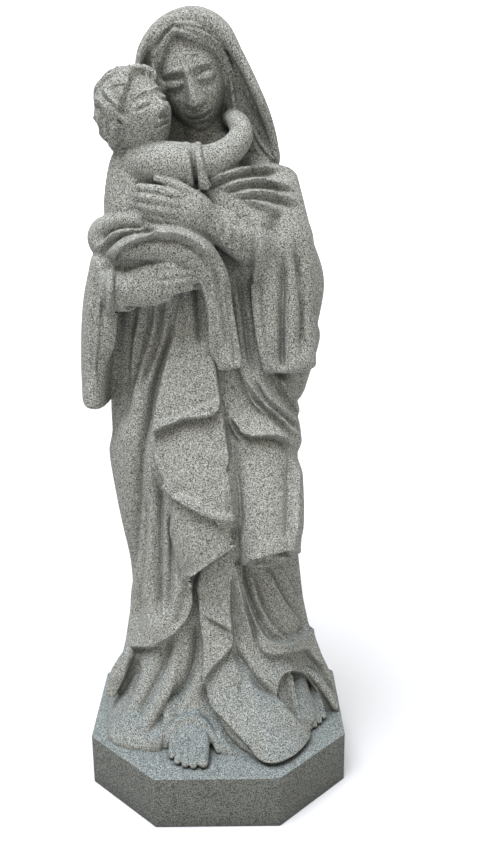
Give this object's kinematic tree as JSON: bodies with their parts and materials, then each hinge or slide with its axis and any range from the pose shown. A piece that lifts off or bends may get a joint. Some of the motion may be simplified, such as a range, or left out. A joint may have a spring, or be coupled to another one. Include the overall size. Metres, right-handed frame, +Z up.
{
  "type": "virgin and child statue",
  "caption": "Standing veiled woman in a long folded mantle who holds a small boy against her cheek, carved with its octagonal plinth from one block of grey granite.",
  "frame": {"origin": "middle of the plinth's underside, on the ground", "axes": "+Z upwards through the figure, -Y towards the front that the woman faces, +X to the viewer's right"},
  "size_m": [0.555, 0.555, 1.6001],
  "materials": {
    "granite": "fine bush-hammered grey granite with dark grains, dull"
  },
  "bodies": {
    "root": {"statue": "granite"}
  },
  "joints": []
}
